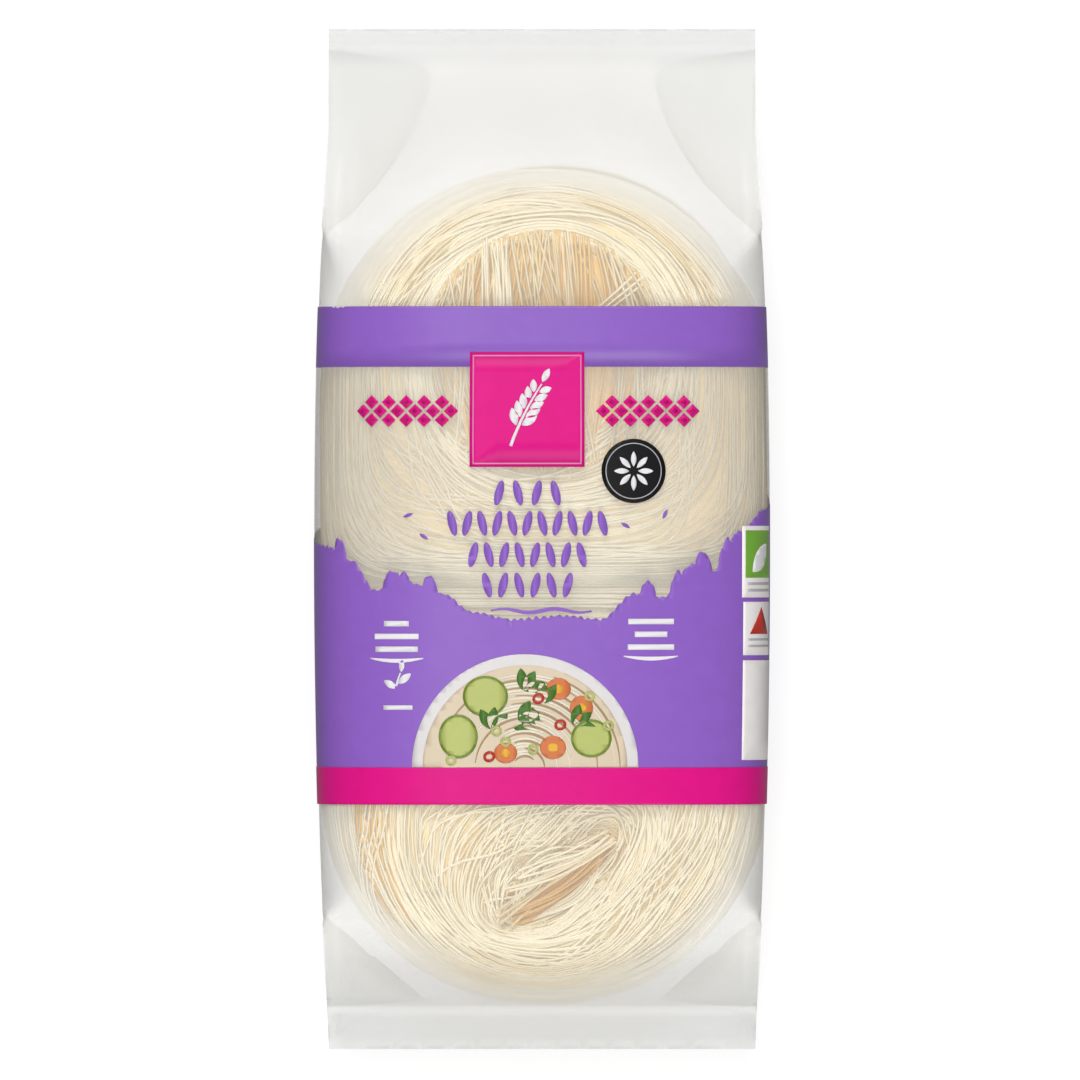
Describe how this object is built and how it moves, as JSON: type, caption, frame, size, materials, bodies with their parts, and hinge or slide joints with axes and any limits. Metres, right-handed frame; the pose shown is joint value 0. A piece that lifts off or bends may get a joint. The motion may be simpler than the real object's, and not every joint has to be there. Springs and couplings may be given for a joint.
{
  "type": "pack of dried rice vermicelli nests",
  "caption": "Clear film pack with folded side gussets and flat sealed ends, filled with coiled nests of dried rice vermicelli and banded by a printed wrap; it lies on its back.",
  "frame": {"origin": "under the middle of the pack, on the plane it lies on", "axes": "+X across the pack, +Y towards its head (the longer loose end), +Z out of its printed front"},
  "size_m": [0.126, 0.28, 0.058],
  "materials": {
    "bag_film": "thin milky film with soft gloss over cream noodles",
    "wrap_print": "purple print with pink trim on clear film, soft gloss"
  },
  "bodies": {
    "root": {"bag": "bag_film", "wrap": "wrap_print"}
  },
  "joints": []
}
